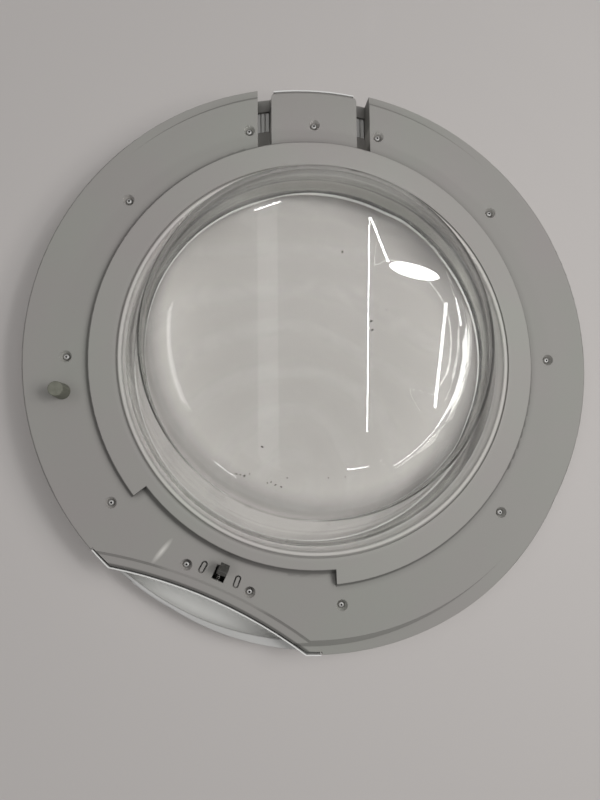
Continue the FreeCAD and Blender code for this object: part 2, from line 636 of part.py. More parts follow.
def rear_frame():
    """Grey frame: collar with its notch, flat face, rim, hinge slots and tab, bite, and screw wells."""
    notch = wedge(NOTCH_START, NOTCH_END)
    frame = rear_ring(COLLAR_RADIUS, COLLAR_FILLET).cut(notch)
    notched = rear_ring(COLLAR_RADIUS - NOTCH_DEPTH, NOTCH_FILLET).common(notch)
    wells, well_cuts = screw_wells(frame_screw_places() + latch_screw_places())
    seats = [hinge_seat(side) for side in (-1, 1)]
    bite_skirt = tube(BITE_RADIUS, BITE_RADIUS + WALL, PARTING_HEIGHT, FRAME_DEPTH, BITE_X, BITE_Y)
    bite_skirt = bite_skirt.common(disc(NEST_RADIUS, 0, ABOVE_ALL))
    additions = [notched, bite_skirt, rear_bulge().cut(round_door_room())] + notch_ends() + wells
    additions += [slot_walls(side) for side in (-1, 1)]
    additions += [boss for boss, bore in seats]
    frame = joined(frame, additions)

    boss_room = [disc(BOSS_RADIUS + NEST_GAP, 0, WELL_BOTTOM, x, y) for x, y in frame_screw_places()]
    buffer_x, buffer_y = at_angle(DOOR_RADIUS - BUFFER_INSET, BUFFER_ANGLE)
    buffer_hole = disc(BUFFER_NECK_RADIUS, 0, ABOVE_ALL, buffer_x, buffer_y)
    bite = disc(BITE_RADIUS, 0, ABOVE_ALL, BITE_X, BITE_Y)
    cuts = [bite, bite_bevel(), buffer_hole] + ledge_cuts() + tab_edge() + shoulder_cuts()
    cuts += boss_room + well_cuts + latch_cuts()
    cuts += [slot_cut(side) for side in (-1, 1)]
    cuts += [bore for boss, bore in seats]
    for cut in cuts:
        frame = frame.cut(cut)
    return frame


def glass_bowl():
    """Pressed bowl with its flange: a straight neck, then a cone that leans towards the hinge."""
    slope = math.tan(math.radians(CONE_ANGLE))
    across = GLASS_THICKNESS / math.cos(math.radians(CONE_ANGLE))
    inner_radius = NECK_RADIUS - GLASS_THICKNESS
    inner_neck = NECK_HEIGHT - GLASS_THICKNESS * math.tan(math.radians(CONE_ANGLE / 2))
    inner_top = BOWL_HEIGHT - GLASS_THICKNESS
    end_radius = NECK_RADIUS - slope * (BOWL_HEIGHT - NECK_HEIGHT)
    inner_end_radius = NECK_RADIUS - across - slope * (inner_top - NECK_HEIGHT)
    lean_start = NECK_HEIGHT - NECK_ROUND * math.tan(math.radians(CONE_ANGLE / 2)) - GLASS_THICKNESS
    neck = turned([
        (inner_radius, FLANGE_BOTTOM, EDGE_ROUND),
        (FLANGE_RADIUS, FLANGE_BOTTOM, EDGE_ROUND),
        (FLANGE_RADIUS, FLANGE_TOP, EDGE_ROUND),
        (NECK_RADIUS, FLANGE_TOP, FLANGE_ROUND),
        (NECK_RADIUS, lean_start),
        (inner_radius, lean_start),
    ])
    bowl = turned([
        (inner_radius, lean_start),
        (NECK_RADIUS, lean_start),
        (NECK_RADIUS, NECK_HEIGHT, NECK_ROUND),
        (end_radius, BOWL_HEIGHT, SHOULDER_ROUND),
        (0, BOWL_HEIGHT),
        (0, inner_top),
        (inner_end_radius, inner_top, SHOULDER_ROUND - GLASS_THICKNESS),
        (inner_radius, inner_neck, NECK_ROUND + GLASS_THICKNESS),
    ])
    lean = FreeCAD.Matrix()
    lean.A13 = BOWL_LEAN_X / (BOWL_HEIGHT - lean_start)
    lean.A23 = BOWL_LEAN_Y / (BOWL_HEIGHT - lean_start)
    lean.A14 = -lean.A13 * lean_start
    lean.A24 = -lean.A23 * lean_start
    return neck.fuse(bowl.transformGeometry(lean))


def glass_gasket():
    """Channel around the edge of the glass flange."""
    leg_end = GASKET_RADIUS - GASKET_LEG
    groove = FLANGE_RADIUS + GASKET_GAP
    return turned([
        (leg_end, SEAT_HEIGHT),
        (GASKET_RADIUS, SEAT_HEIGHT),
        (GASKET_RADIUS, FOOT_BOTTOM),
        (leg_end, FOOT_BOTTOM),
        (leg_end, FLANGE_TOP),
        (groove, FLANGE_TOP),
        (groove, FLANGE_BOTTOM),
        (leg_end, FLANGE_BOTTOM),
    ])


def screws(places):
    """Pan-headed screws with a driver socket, one solid at each place."""
    head_top = HEAD_SEAT + HEAD_HEIGHT
    pieces = []
    for x, y in places:
        pieces.append(turned([
            (0, SCREW_TIP),
            (SCREW_RADIUS, SCREW_TIP),
            (SCREW_RADIUS, HEAD_SEAT),
            (HEAD_RADIUS, HEAD_SEAT),
            (HEAD_RADIUS, head_top, HEAD_ROUND),
            (SOCKET_RADIUS, head_top),
            (SOCKET_RADIUS, head_top - SOCKET_DEPTH),
            (0, head_top - SOCKET_DEPTH),
        ], x, y))
    return Part.makeCompound(pieces)


def latch_housing():
    """Box under the hook hole with two screwed ears, and seats for the hook's pin."""
    inner = CAVITY_INNER - HOUSING_WALL
    outer = CAVITY_OUTER + HOUSING_WALL
    width = (-HOUSING_HALF_WIDTH, HOUSING_HALF_WIDTH)
    body = block((inner, outer), width, (CAVITY_FLOOR - HOUSING_WALL, PLATE_BOTTOM))
    cavity = block(
        (CAVITY_INNER, CAVITY_OUTER),
        (-HOOK_HOLE_WIDTH / 2, HOOK_HOLE_WIDTH / 2),
        (CAVITY_FLOOR, PLATE_BOTTOM),
    )
    ears = []
    holes = []
    for side in (-1, 1):
        x, y = at_angle(LATCH_SCREW_CIRCLE, side * LATCH_SCREW_ANGLE)
        reach = BOSS_RADIUS + EAR_MARGIN
        low = min(0, side * (abs(y) + reach))
        high = max(0, side * (abs(y) + reach))
        ears.append(block((x - reach, x + reach), (low, high), (WELL_BOTTOM - EAR_THICKNESS, WELL_BOTTOM)))
        ears.append(disc(BOSS_RADIUS, SCREW_TIP - BOSS_TIP_ROOM, WELL_BOTTOM, x, y))
        holes.append(disc(SCREW_RADIUS + THREAD_GAP, SCREW_TIP - BOSS_TIP_ROOM, WELL_BOTTOM, x, y))
    housing = joined(body, ears)
    for cut in [cavity, pin_along(PIN_RADIUS + PIN_SEAT_GAP)] + holes:
        housing = housing.cut(cut)
    return turned_to(housing, LATCH_ANGLE)


def pin_along(radius):
    """Rod across the housing on the hook's axis, before it is turned to the latch."""
    start = FreeCAD.Vector(PIVOT_RADIUS, -HOUSING_HALF_WIDTH, PIVOT_HEIGHT)
    return Part.makeCylinder(radius, 2 * HOUSING_HALF_WIDTH, start, FreeCAD.Vector(0, 1, 0))


def latch_hook():
    """Hook on its pin: a stem through the hole and a claw towards the middle of the door."""
    claw_tip = STEM_INNER - CLAW_REACH
    claw_height = FRAME_DEPTH + CLAW_HEIGHT
    side = outline([
        (STEM_INNER, PIVOT_HEIGHT),
        (STEM_INNER, claw_height, HOOK_ROUND),
        (claw_tip, claw_height, HOOK_ROUND),
        (claw_tip, claw_height + CLAW_THICKNESS, HOOK_ROUND),
        (STEM_INNER + HOOK_CREST, FRAME_DEPTH + HOOK_HEIGHT, HOOK_ROUND),
        (STEM_OUTER, claw_height, HOOK_ROUND),
        (STEM_OUTER, PIVOT_HEIGHT),
    ])
    side.translate(FreeCAD.Vector(0, -HOOK_WIDTH / 2, 0))
    stem = side.extrude(FreeCAD.Vector(0, HOOK_WIDTH, 0))
    start = FreeCAD.Vector(PIVOT_RADIUS, -HOOK_WIDTH / 2, PIVOT_HEIGHT)
    boss = Part.makeCylinder(PIVOT_BOSS_RADIUS, HOOK_WIDTH, start, FreeCAD.Vector(0, 1, 0))
    hook = joined(stem, [boss]).cut(pin_along(PIN_RADIUS + PIN_GAP))
    return turned_to(hook, LATCH_ANGLE)


def hook_pin():
    """Plain steel pin in the housing's two cheeks."""
    return turned_to(pin_along(PIN_RADIUS), LATCH_ANGLE)


def hook_spring():
    """Compression spring between the hook's stem and the outer wall of the housing."""
    start = STEM_OUTER + SPRING_SEAT_GAP + SPRING_WIRE
    length = CAVITY_OUTER - SPRING_SEAT_GAP - SPRING_WIRE - start
    path = Part.makeHelix(length / SPRING_TURNS, length, SPRING_RADIUS)
    circle = Part.makeCircle(SPRING_WIRE, FreeCAD.Vector(SPRING_RADIUS, 0, 0), FreeCAD.Vector(0, 1, 0))
    wire = Part.Wire(path).makePipeShell([Part.Wire(circle)], True, True)
    wire.rotate(ORIGIN, FreeCAD.Vector(0, 1, 0), 90)
    wire.translate(FreeCAD.Vector(start, 0, FRAME_DEPTH - SPRING_DEPTH))
    return turned_to(wire, LATCH_ANGLE)


def buffer():
    """Rubber stop: a slightly tapered post, a neck through the frame and a barb behind it."""
    x, y = at_angle(DOOR_RADIUS - BUFFER_INSET, BUFFER_ANGLE)
    neck = BUFFER_NECK_RADIUS - BUFFER_NECK_GAP
    top = FRAME_DEPTH + BUFFER_HEIGHT
    return turned([
        (0, PLATE_BOTTOM - BARB_LENGTH),
        (neck, PLATE_BOTTOM - BARB_LENGTH),
        (BARB_RADIUS, PLATE_BOTTOM),
        (neck, PLATE_BOTTOM),
        (neck, FRAME_DEPTH),
        (BUFFER_RADIUS, FRAME_DEPTH),
        (BUFFER_RADIUS - BUFFER_TAPER, top, BUFFER_ROUND),
        (0, top),
    ], x, y)


NODES = {
    "front_ring": front_ring,
    "rear_frame": rear_frame,
    "glass_bowl": glass_bowl,
    "glass_gasket": glass_gasket,
    "frame_screws": lambda: screws(frame_screw_places()),
    "latch_screws": lambda: screws(latch_screw_places()),
    "latch_housing": latch_housing,
    "latch_hook": latch_hook,
    "hook_pin": hook_pin,
    "hook_spring": hook_spring,
    "buffer": buffer,
}

os.makedirs("parts", exist_ok=True)
for node, make in NODES.items():
    shape = make()
    print(node, "solids", len(shape.Solids), "valid", shape.isValid(), "volume", round(shape.Volume))
    shape.exportStep(f"parts/{node}.step")
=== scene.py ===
"""Finishes, lights and camera for the washing machine door, which lies on its front on a pale floor.

Lengths are in metres in the door's own frame: its axis is Z, +Y points to the hinge, and the floor
is at Z = 0. Sizes that a maker would read off a drawing are written in millimetres times MM.
"""
import bpy
import math
import random
from mathutils import Matrix, Vector


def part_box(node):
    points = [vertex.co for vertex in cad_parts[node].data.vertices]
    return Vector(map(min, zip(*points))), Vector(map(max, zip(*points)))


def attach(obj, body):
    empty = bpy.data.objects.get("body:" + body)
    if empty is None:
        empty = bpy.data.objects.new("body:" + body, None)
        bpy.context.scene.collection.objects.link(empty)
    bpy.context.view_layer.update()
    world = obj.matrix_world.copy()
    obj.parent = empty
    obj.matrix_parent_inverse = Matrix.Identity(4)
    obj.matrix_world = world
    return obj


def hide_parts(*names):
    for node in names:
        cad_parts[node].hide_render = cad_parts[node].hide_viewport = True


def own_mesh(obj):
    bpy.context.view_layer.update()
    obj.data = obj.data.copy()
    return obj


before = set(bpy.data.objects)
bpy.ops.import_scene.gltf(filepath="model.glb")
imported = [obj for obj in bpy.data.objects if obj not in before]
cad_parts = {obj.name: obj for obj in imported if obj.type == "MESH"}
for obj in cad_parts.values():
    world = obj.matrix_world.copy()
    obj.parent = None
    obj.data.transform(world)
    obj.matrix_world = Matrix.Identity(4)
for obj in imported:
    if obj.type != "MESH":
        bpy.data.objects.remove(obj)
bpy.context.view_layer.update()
MM = 0.001

# Glass bowl, as pressed: the neck comes through the frame and the cone leans towards the hinge
END_THICKNESS = 5.0 * MM
WALL_THICKNESS = 4.0 * MM    # of the cone and the neck
NECK_RADIUS = 151.5 * MM
NECK_HEIGHT = 46.0 * MM
FLANGE_TOP = 23.0 * MM
CONE_ANGLE = math.radians(21.0)
NECK_ROUND = 30.0 * MM
SHOULDER_ROUND = 34.0 * MM
FLANGE_ROUND = 3.0 * MM
EDGE_ROUND = 1.2 * MM
SEAM_INSET = 3 * EDGE_ROUND  # under the flange, where the outside's line meets the inside's
BOWL_LEAN = Vector((-5.0 * MM, 9.0 * MM))
GLASS_STEPS = 360            # facets around the bowl
RUN_STEP = 3.0 * MM          # longest facet along a straight run of its line
ARC_STEP = 0.9 * MM          # facet along a rounding
ARC_LEAST = 6                # fewest facets along a rounding

# Inner face of the bowl's end: flat about the middle, then the end gets thinner outwards
DISH_START = 86.0 * MM
DISH_INROAD = 26.0 * MM      # the thinning starts this much nearer the middle on one side
DISH_SIDE = math.radians(10.0)
DISH_SIDE_EDGE = 0.58        # cosine of the angle from that side at which the inroad begins
DISH_SIDE_FADE = 0.18        # rise of that cosine over which it comes in
DISH_RAMP = 36.0 * MM        # run over which the slope comes in
DISH_SLOPE = 0.052

# Film on the glass, wiped in rings
WIPE_SHIFT = (30.0 * MM, 95.0 * MM, 0.0)    # from the middle of the rings to the door's axis
WIPE_SPACING = 30.0          # from ring to ring, in millimetres
WAVE_LENGTH = 0.3            # of a wave texture at scale 1, about, in metres

# Specks of dried dirt on the end of the bowl: place and size in millimetres
SPECKS = [
    (-49.2, -72.4, 1.2), (-67.0, -90.5, 1.3), (-64.3, -91.2, 1.0), (-61.5, -91.9, 1.5), (-58.1, -90.6, 0.9),
    (-45.9, -96.9, 1.0), (-43.2, -96.3, 0.9), (-40.4, -98.4, 1.0), (-36.3, -99.8, 1.4), (-32.2, -93.7, 1.0),
    (8.7, 66.1, 1.4), (28.8, 16.4, 1.6), (29.4, 9.9, 1.4), (40.0, 24.5, 0.8), (-3.7, -94.1, 0.9),
    (8.2, -93.6, 1.0),
]
SPECK_SEED = 5
SPECK_SIDES = (6, 9)
SPECK_STRETCH = (1.0, 2.2)   # along its lie, over its size
SPECK_EDGE = (0.6, 1.1)      # reach of a ragged corner, over half its size
SPECK_LIFT = 0.02 * MM       # over the glass

# Latch and its spring, from the hook out to the housing's wall
LATCH_DEGREES = 245.2
LATCH_ANGLE = math.radians(LATCH_DEGREES)
REAR_FACE = 45.0 * MM        # of the rear frame
SPRING_AXIS = REAR_FACE - 6.2 * MM
SPRING_START = 185.7 * MM
SPRING_END = 194.5 * MM
SPRING_RADIUS = 2.4 * MM
SPRING_WIRE = 0.4 * MM       # radius of the wire
SPRING_TURNS = 6
SPRING_STEPS = 32            # facets along a turn
WIRE_STEPS = 10              # facets around the wire

# Screws: places as (radius, degrees), and the turned shape from the socket's floor round to the tip
FRAME_CIRCLE = 197.0 * MM
FRAME_SCREWS = [(FRAME_CIRCLE, degrees) for degrees in (0, 40, 74, 90, 106, 140, 180, 215, 275, 320)]
LATCH_SCREWS = [(192.0 * MM, LATCH_DEGREES + side) for side in (-8, 8)]
SOCKET_LOBES = 6
SOCKET_RADIUS = 0.85 * MM
SOCKET_LOBE = 0.15 * MM
SOCKET_FLOOR = 41.4 * MM
HEAD_SEAT = 40.5 * MM
HEAD_LINE = [                # radius and height in millimetres, from the socket's edge to the seat
    (1.25, 42.98), (1.7, 42.85), (2.1, 42.6), (2.4, 42.2), (2.55, 41.7), (2.6, 41.2), (2.6, 40.5),
]
SHANK_TIP = 20.5 * MM
THREAD_CORE = 1.3 * MM
THREAD_DEPTH = 0.42 * MM
THREAD_PITCH = 1.3 * MM
THREAD_RINGS = 4             # rings of points to a turn of thread
SCREW_STEPS = 36             # facets around a screw
SCREW_TURN = 0.7             # from one screw's socket to the next, in radians
SCREW_SHARP = math.radians(35)    # an edge over this angle stays sharp

# Tones of the two frames: the rim drawn greyer, the collar drawn paler, painted shade in creases and on
# slopes, and painted light on steep walls by the lip and the screws
RIM_TOP = 27.0 * MM          # of the front ring
RIM_GREYED = 1.5 * MM        # about the rim's top, drawn greyer this far
RIM_FULL_WHITE = 3.0 * MM         # and fully white from here
PALER_RISE = 3.0 * MM       # over the rear face, from where the collar is drawn paler
LIP_RADIUS = 152.5 * MM      # opening of the rear frame
SHADE_START = 5.0 * MM       # from the lip and from the circle of screws: painted light on steep walls, and no painted shade, to here
SHADE_FULL = 9.0 * MM        # and painted shade as elsewhere from here
CREASE_REACH = 7.0 * MM
DARKEST_SHADE_Y = -100.0 * MM    # along Y: the slopes' painted shade is darkest to here
FAINTEST_SHADE_Y = 50.0 * MM       # and faintest from here
SLOPES_BELOW = -0.5 * MM     # from the rear face: slopes up to here have little painted shade
SLOPES_ABOVE = 1.0 * MM      # and those from here up have the most

# Painted shade and highlight over the lip's bore, bead and groove, as (share of the run outwards, tone)
BEAD_RUN = 8.0 * MM
BEAD_PEAK = 1.45
BEAD_TONES = [(0.08, 0.75), (0.2, BEAD_PEAK), (0.36, BEAD_PEAK), (0.5, 0.75), (0.62, 0.75), (0.8, 1.0)]

# Circle of the bite above the finger grip, and the painted shadow line that fades out along it
BITE_DISTANCE = 595.5 * MM   # of its middle from the door's axis, past the latch
BITE_PLACE = (BITE_DISTANCE * math.cos(LATCH_ANGLE), BITE_DISTANCE * math.sin(LATCH_ANGLE), 0.0)
BITE_RADIUS = 390.0 * MM
BITE_SHADOW = (1.2 * MM, 2.4 * MM)

# Painted glint: a pale patch on the rear face beside the latch
GLINT_PLACE = (-122.5 * MM, -150.5 * MM, REAR_FACE)
GLINT_TURN = math.radians(50.0)
GLINT_SIZE = (13.0 * MM, 2.6 * MM, 10.0 * MM)

# Floor and ceiling, in metres
FLOOR_HALF = 30.0
CEILING_HEIGHT = 2.5

# Ceiling lamps that shine straight down: x, y, width and length in metres, power in watts, turn in degrees
CEILING_LAMPS = {
    "ceiling_tube": (0.575, 0.517, 0.005, 0.98, 0.55, -1.7),
    "slanted_tube": (0.634, 0.905, 0.01, 0.223, 0.25, 21),
    "bright_panel": (0.795, 0.76, 0.24, 0.066, 1.3, -13),
    "side_panel": (1.37, 0.17, 0.48, 0.72, 16, 18),
    "side_line": (1.013, 0.58, 0.025, 0.14, 0.25, 9),
    "inner_line": (0.908, 0.375, 0.014, 0.49, 0.5, -8),
    "side_tube": (1.24, -0.44, 0.1, 0.75, 3.5, -25.5),
    "corner_tube": (0.123, 1.044, 0.13, 0.007, 0.07, 21),
    "short_tube": (0.517, -0.141, 0.1, 0.012, 0.1, 0),
    "dim_strip": (0.122, 0.40, 0.09, 1.34, 0.25, 0),
    "far_panel": (-1.3, 0.2, 0.5, 1.2, 5.5, 0),
}

# Faint lamps inside the neck of the bowl, away from the hinge, and one high under its end
GATHERED_SIZE = 5.0 * MM
GATHERED_ANGLES = range(150, 391, 8)
GATHERED_RADIUS = 142.0 * MM
GATHERED_HEIGHT = 30.0 * MM
GATHERED_POWER = 0.0043
HIGH_PLACE = (15.0 * MM, 75.0 * MM, 90.0 * MM)
HIGH_POWER = 0.11

# Room: most of its light is from overhead, and it is seen as an even pale grey
ROOM_SIDE = 0.06
ROOM_OVERHEAD = 0.9
ROOM_GATHER = 4.0            # power of the height by which the light gathers overhead
ROOM_SEEN = 0.62

# Camera, looking down on the drum side from the lower left, with its turns in radians
PHOTO_FOCAL = 650.0          # focal length in pixels of the 600 x 800 frame
PHOTO_HEIGHT = 800.0
SENSOR_WIDTH = 36.0          # in millimetres
NEAREST_SEEN = 0.01
CAMERA_PLACE = Vector((-76.1, -79.1, 561.6)) * MM
CAMERA_TURN_X = 0.08717
CAMERA_TURN_Y = -0.11823


def linear(code):
    """sRGB hex colour as linear RGBA."""
    parts = [int(code[i:i + 2], 16) / 255 for i in (1, 3, 5)]
    return (*[p / 12.92 if p <= 0.04045 else ((p + 0.055) / 1.055) ** 2.4 for p in parts], 1.0)


def add(tree, kind, inputs=None, stops=None, **settings):
    """Adds a node with its settings and, for a ramp, its stops as (position, colour).

    Each input is a value, or the node or socket that it is linked from.
    """
    made = tree.nodes.new(kind)
    for name, value in settings.items():
        setattr(made, name, value)
    for key, value in (inputs or {}).items():
        if isinstance(value, bpy.types.Node):
            value = value.outputs[0]
        if isinstance(value, bpy.types.NodeSocket):
            tree.links.new(value, made.inputs[key])
        else:
            made.inputs[key].default_value = value
    if stops:
        elements = made.color_ramp.elements
        elements[0].position = stops[0][0]
        elements[1].position = stops[-1][0]
        for position, _ in stops[1:-1]:
            elements.new(position)
        for element, (_, colour) in zip(elements, stops):
            element.color = colour
    return made


def new_material(name, values):
    """Node material with its Principled shader linked to the output, and the values that are uniform."""
    material = bpy.data.materials.new(name)
    material.use_nodes = True
    tree = material.node_tree
    tree.nodes.clear()
    shader = add(tree, "ShaderNodeBsdfPrincipled", values)
    add(tree, "ShaderNodeOutputMaterial", {"Surface": shader})
    return material, tree, shader


def per_metre(millimetres):
    """Texture scale that gives a pattern of about this size."""
    return 1.0 / (millimetres * MM)


def lip_shade_and_highlight(tree, radius):
    """Rings of painted shade and highlight over the lip: a dark bore, a pale bead and a dark groove."""
    over_lip = add(tree, "ShaderNodeMapRange", {
        "Value": radius, "From Min": LIP_RADIUS, "From Max": LIP_RADIUS + BEAD_RUN})
    shares = [(share, (*[tone / BEAD_PEAK] * 3, 1.0)) for share, tone in BEAD_TONES]
    rings = add(tree, "ShaderNodeValToRGB", {"Fac": over_lip}, stops=shares)
    return add(tree, "ShaderNodeMath", {0: rings, 1: BEAD_PEAK}, operation="MULTIPLY")


def painted_light_and_shade(tree, spot, radius):
    """Painted shade that darkens slopes and creases, most on the latch side; by the lip and the screws,
    painted light brightens steep walls instead.
    """
    off_circle = add(tree, "ShaderNodeMath", {0: radius, 1: FRAME_CIRCLE}, operation="SUBTRACT")
    from_screws = add(tree, "ShaderNodeMath", {0: off_circle}, operation="ABSOLUTE")
    off_screws = add(tree, "ShaderNodeMapRange", {
        "Value": from_screws, "From Min": SHADE_START, "From Max": SHADE_FULL})
    off_lip = add(tree, "ShaderNodeMapRange", {
        "Value": radius, "From Min": LIP_RADIUS + SHADE_START, "From Max": LIP_RADIUS + SHADE_FULL})
    away = add(tree, "ShaderNodeMath", {0: off_screws, 1: off_lip}, operation="MINIMUM")
    # Painted shade in creases, from ambient occlusion.
    crease = add(tree, "ShaderNodeAmbientOcclusion", {"Distance": CREASE_REACH}, samples=6, only_local=True)
    crease_shade = add(tree, "ShaderNodeMapRange", {
        "Value": crease.outputs["AO"], "From Min": 0.3, "From Max": 0.95, "To Min": 0.35, "To Max": 1.0})
    # Painted shade on steep slopes: most on the latch side, and most on slopes above the rear face.
    normal = add(tree, "ShaderNodeNewGeometry").outputs["Normal"]
    facing = add(tree, "ShaderNodeSeparateXYZ", {"Vector": normal}).outputs["Z"]
    latch_side_shade = add(tree, "ShaderNodeMapRange", {
        "Value": spot.outputs["Y"], "From Min": DARKEST_SHADE_Y, "From Max": FAINTEST_SHADE_Y,
        "To Min": 0.5, "To Max": 0.72})
    deepest = add(tree, "ShaderNodeMapRange", {
        "Value": spot.outputs["Z"],
        "From Min": REAR_FACE + SLOPES_BELOW, "From Max": REAR_FACE + SLOPES_ABOVE,
        "To Min": 0.8, "To Max": latch_side_shade})
    slope = add(tree, "ShaderNodeMapRange", {
        "Value": facing, "From Min": 0.88, "From Max": 0.995, "To Min": deepest, "To Max": 1.0})
    shaded_tone = add(tree, "ShaderNodeMath", {0: crease_shade, 1: slope}, operation="MULTIPLY")
    # Painted light: steep walls by the lip and the screws are brightened.
    lit_walls = add(tree, "ShaderNodeMapRange", {
        "Value": facing, "From Min": 0.3, "From Max": 0.95, "To Min": 1.4, "To Max": 1.0})
    return add(tree, "ShaderNodeMix", {"Factor": away, "A": lit_walls, "B": shaded_tone})


def glint_tone(tree, place):
    """Painted glint: a pale patch on the rear face beside the latch."""
    # Painted highlight: the patch is brightened.
    glint_place = add(tree, "ShaderNodeMapping", {
        "Vector": place, "Location": GLINT_PLACE, "Rotation": (0.0, 0.0, GLINT_TURN), "Scale": GLINT_SIZE},
        vector_type="TEXTURE")
    glint = add(tree, "ShaderNodeTexGradient", {"Vector": glint_place}, gradient_type="SPHERICAL")
    return add(tree, "ShaderNodeMapRange", {"Value": glint.outputs["Fac"], "To Min": 1.0, "To Max": 2.1})


def grey_polypropylene():
    """Moulded polypropylene with a fine spark-eroded grain: a soft grey sheen, faintly mottled.

    The collar is drawn a little paler. The lip carries a painted highlight on its bead, with painted shade
    in its bore and its groove. Painted shade darkens slopes and creases and draws a shadow line along the
    bite, and painted light brightens steep walls by the lip and the screws. A painted glint lies on a patch
    by the latch.
    """
    material, tree, shader = new_material("moulded_grey_polypropylene", {
        "IOR": 1.49, "Specular IOR Level": 0.2})
    place = add(tree, "ShaderNodeTexCoord").outputs["Object"]
    mottle = add(tree, "ShaderNodeTexNoise", {"Vector": place, "Scale": per_metre(70), "Detail": 3.0})
    colour = add(tree, "ShaderNodeValToRGB", {"Fac": mottle.outputs["Fac"]},
                 stops=[(0.3, linear("#9B9795")), (0.7, linear("#9A9A95"))])

    spot = add(tree, "ShaderNodeSeparateXYZ", {"Vector": place})
    # The collar is drawn paler from the rear face up.
    paleness = add(tree, "ShaderNodeMapRange", {
        "Value": spot.outputs["Z"], "From Min": REAR_FACE, "From Max": REAR_FACE + PALER_RISE,
        "To Min": 1.0, "To Max": 1.22})
    flat = add(tree, "ShaderNodeVectorMath", {0: place, 1: (1.0, 1.0, 0.0)}, operation="MULTIPLY")
    radius = add(tree, "ShaderNodeVectorMath", {0: flat}, operation="LENGTH").outputs["Value"]
    from_bite = add(tree, "ShaderNodeVectorMath", {0: flat, 1: BITE_PLACE}, operation="DISTANCE")
    # Painted shadow: a dark line along the edge of the bite.
    bite_shadow_line = add(tree, "ShaderNodeMapRange", {
        "Value": from_bite.outputs["Value"],
        "From Min": BITE_RADIUS + BITE_SHADOW[0], "From Max": BITE_RADIUS + BITE_SHADOW[1],
        "To Min": 0.4, "To Max": 1.0})
    tone = paleness
    # Painted shade and light, a painted glint, the lip's painted shade and highlight, and the bite's
    # painted shadow.
    for change in (painted_light_and_shade(tree, spot, radius), glint_tone(tree, place), lip_shade_and_highlight(tree, radius), bite_shadow_line):
        tone = add(tree, "ShaderNodeMath", {0: tone, 1: change}, operation="MULTIPLY")
    toned = add(tree, "ShaderNodeVectorMath", {0: colour, "Scale": tone}, operation="SCALE")

    # The grain is about 0.1 mm on the real surface, and is drawn coarser so that it shows
    grain = add(tree, "ShaderNodeTexNoise", {"Vector": place, "Scale": per_metre(0.9), "Detail": 2.0})
    gloss = add(tree, "ShaderNodeMapRange", {
        "Value": mottle.outputs["Fac"], "From Min": 0.3, "From Max": 0.7, "To Min": 0.48, "To Max": 0.58})
    edges = add(tree, "ShaderNodeBevel", {"Radius": 0.6 * MM}, samples=4)
    bump = add(tree, "ShaderNodeBump", {
        "Height": grain.outputs["Fac"], "Strength": 0.12, "Distance": 0.05 * MM, "Normal": edges})
    tree.links.new(toned.outputs["Vector"], shader.inputs["Base Color"])
    tree.links.new(gloss.outputs["Result"], shader.inputs["Roughness"])
    tree.links.new(bump.outputs["Normal"], shader.inputs["Normal"])
    return material


def white_abs():
    """Polished ABS: bright white with a clear sheen and slight unevenness, its rim drawn greyer about its
    top.
    """
    material, tree, shader = new_material("polished_white_abs", {"Roughness": 0.28, "IOR": 1.53})
    place = add(tree, "ShaderNodeTexCoord").outputs["Object"]
    wave = add(tree, "ShaderNodeTexNoise", {"Vector": place, "Scale": per_metre(60), "Detail": 2.0})
    colour = add(tree, "ShaderNodeValToRGB", {"Fac": wave.outputs["Fac"]},
                 stops=[(0.3, linear("#E4E4E2")), (0.7, linear("#EBEBE9"))])
    height = add(tree, "ShaderNodeSeparateXYZ", {"Vector": place}).outputs["Z"]
    # The rim is drawn greyer about its top.
    off_rim = add(tree, "ShaderNodeMath", {0: height, 1: RIM_TOP}, operation="SUBTRACT")
    from_rim = add(tree, "ShaderNodeMath", {0: off_rim}, operation="ABSOLUTE")
    greyer_rim = add(tree, "ShaderNodeMapRange", {
        "Value": from_rim, "From Min": RIM_GREYED, "From Max": RIM_FULL_WHITE, "To Min": 0.62, "To Max": 1.0})
    toned = add(tree, "ShaderNodeVectorMath", {0: colour, "Scale": greyer_rim}, operation="SCALE")
    edges = add(tree, "ShaderNodeBevel", {"Radius": 0.4 * MM}, samples=4)
    bump = add(tree, "ShaderNodeBump", {
        "Height": wave.outputs["Fac"], "Strength": 0.1, "Distance": 0.5 * MM, "Normal": edges})
    tree.links.new(toned.outputs["Vector"], shader.inputs["Base Color"])
    tree.links.new(bump.outputs["Normal"], shader.inputs["Normal"])
    return material


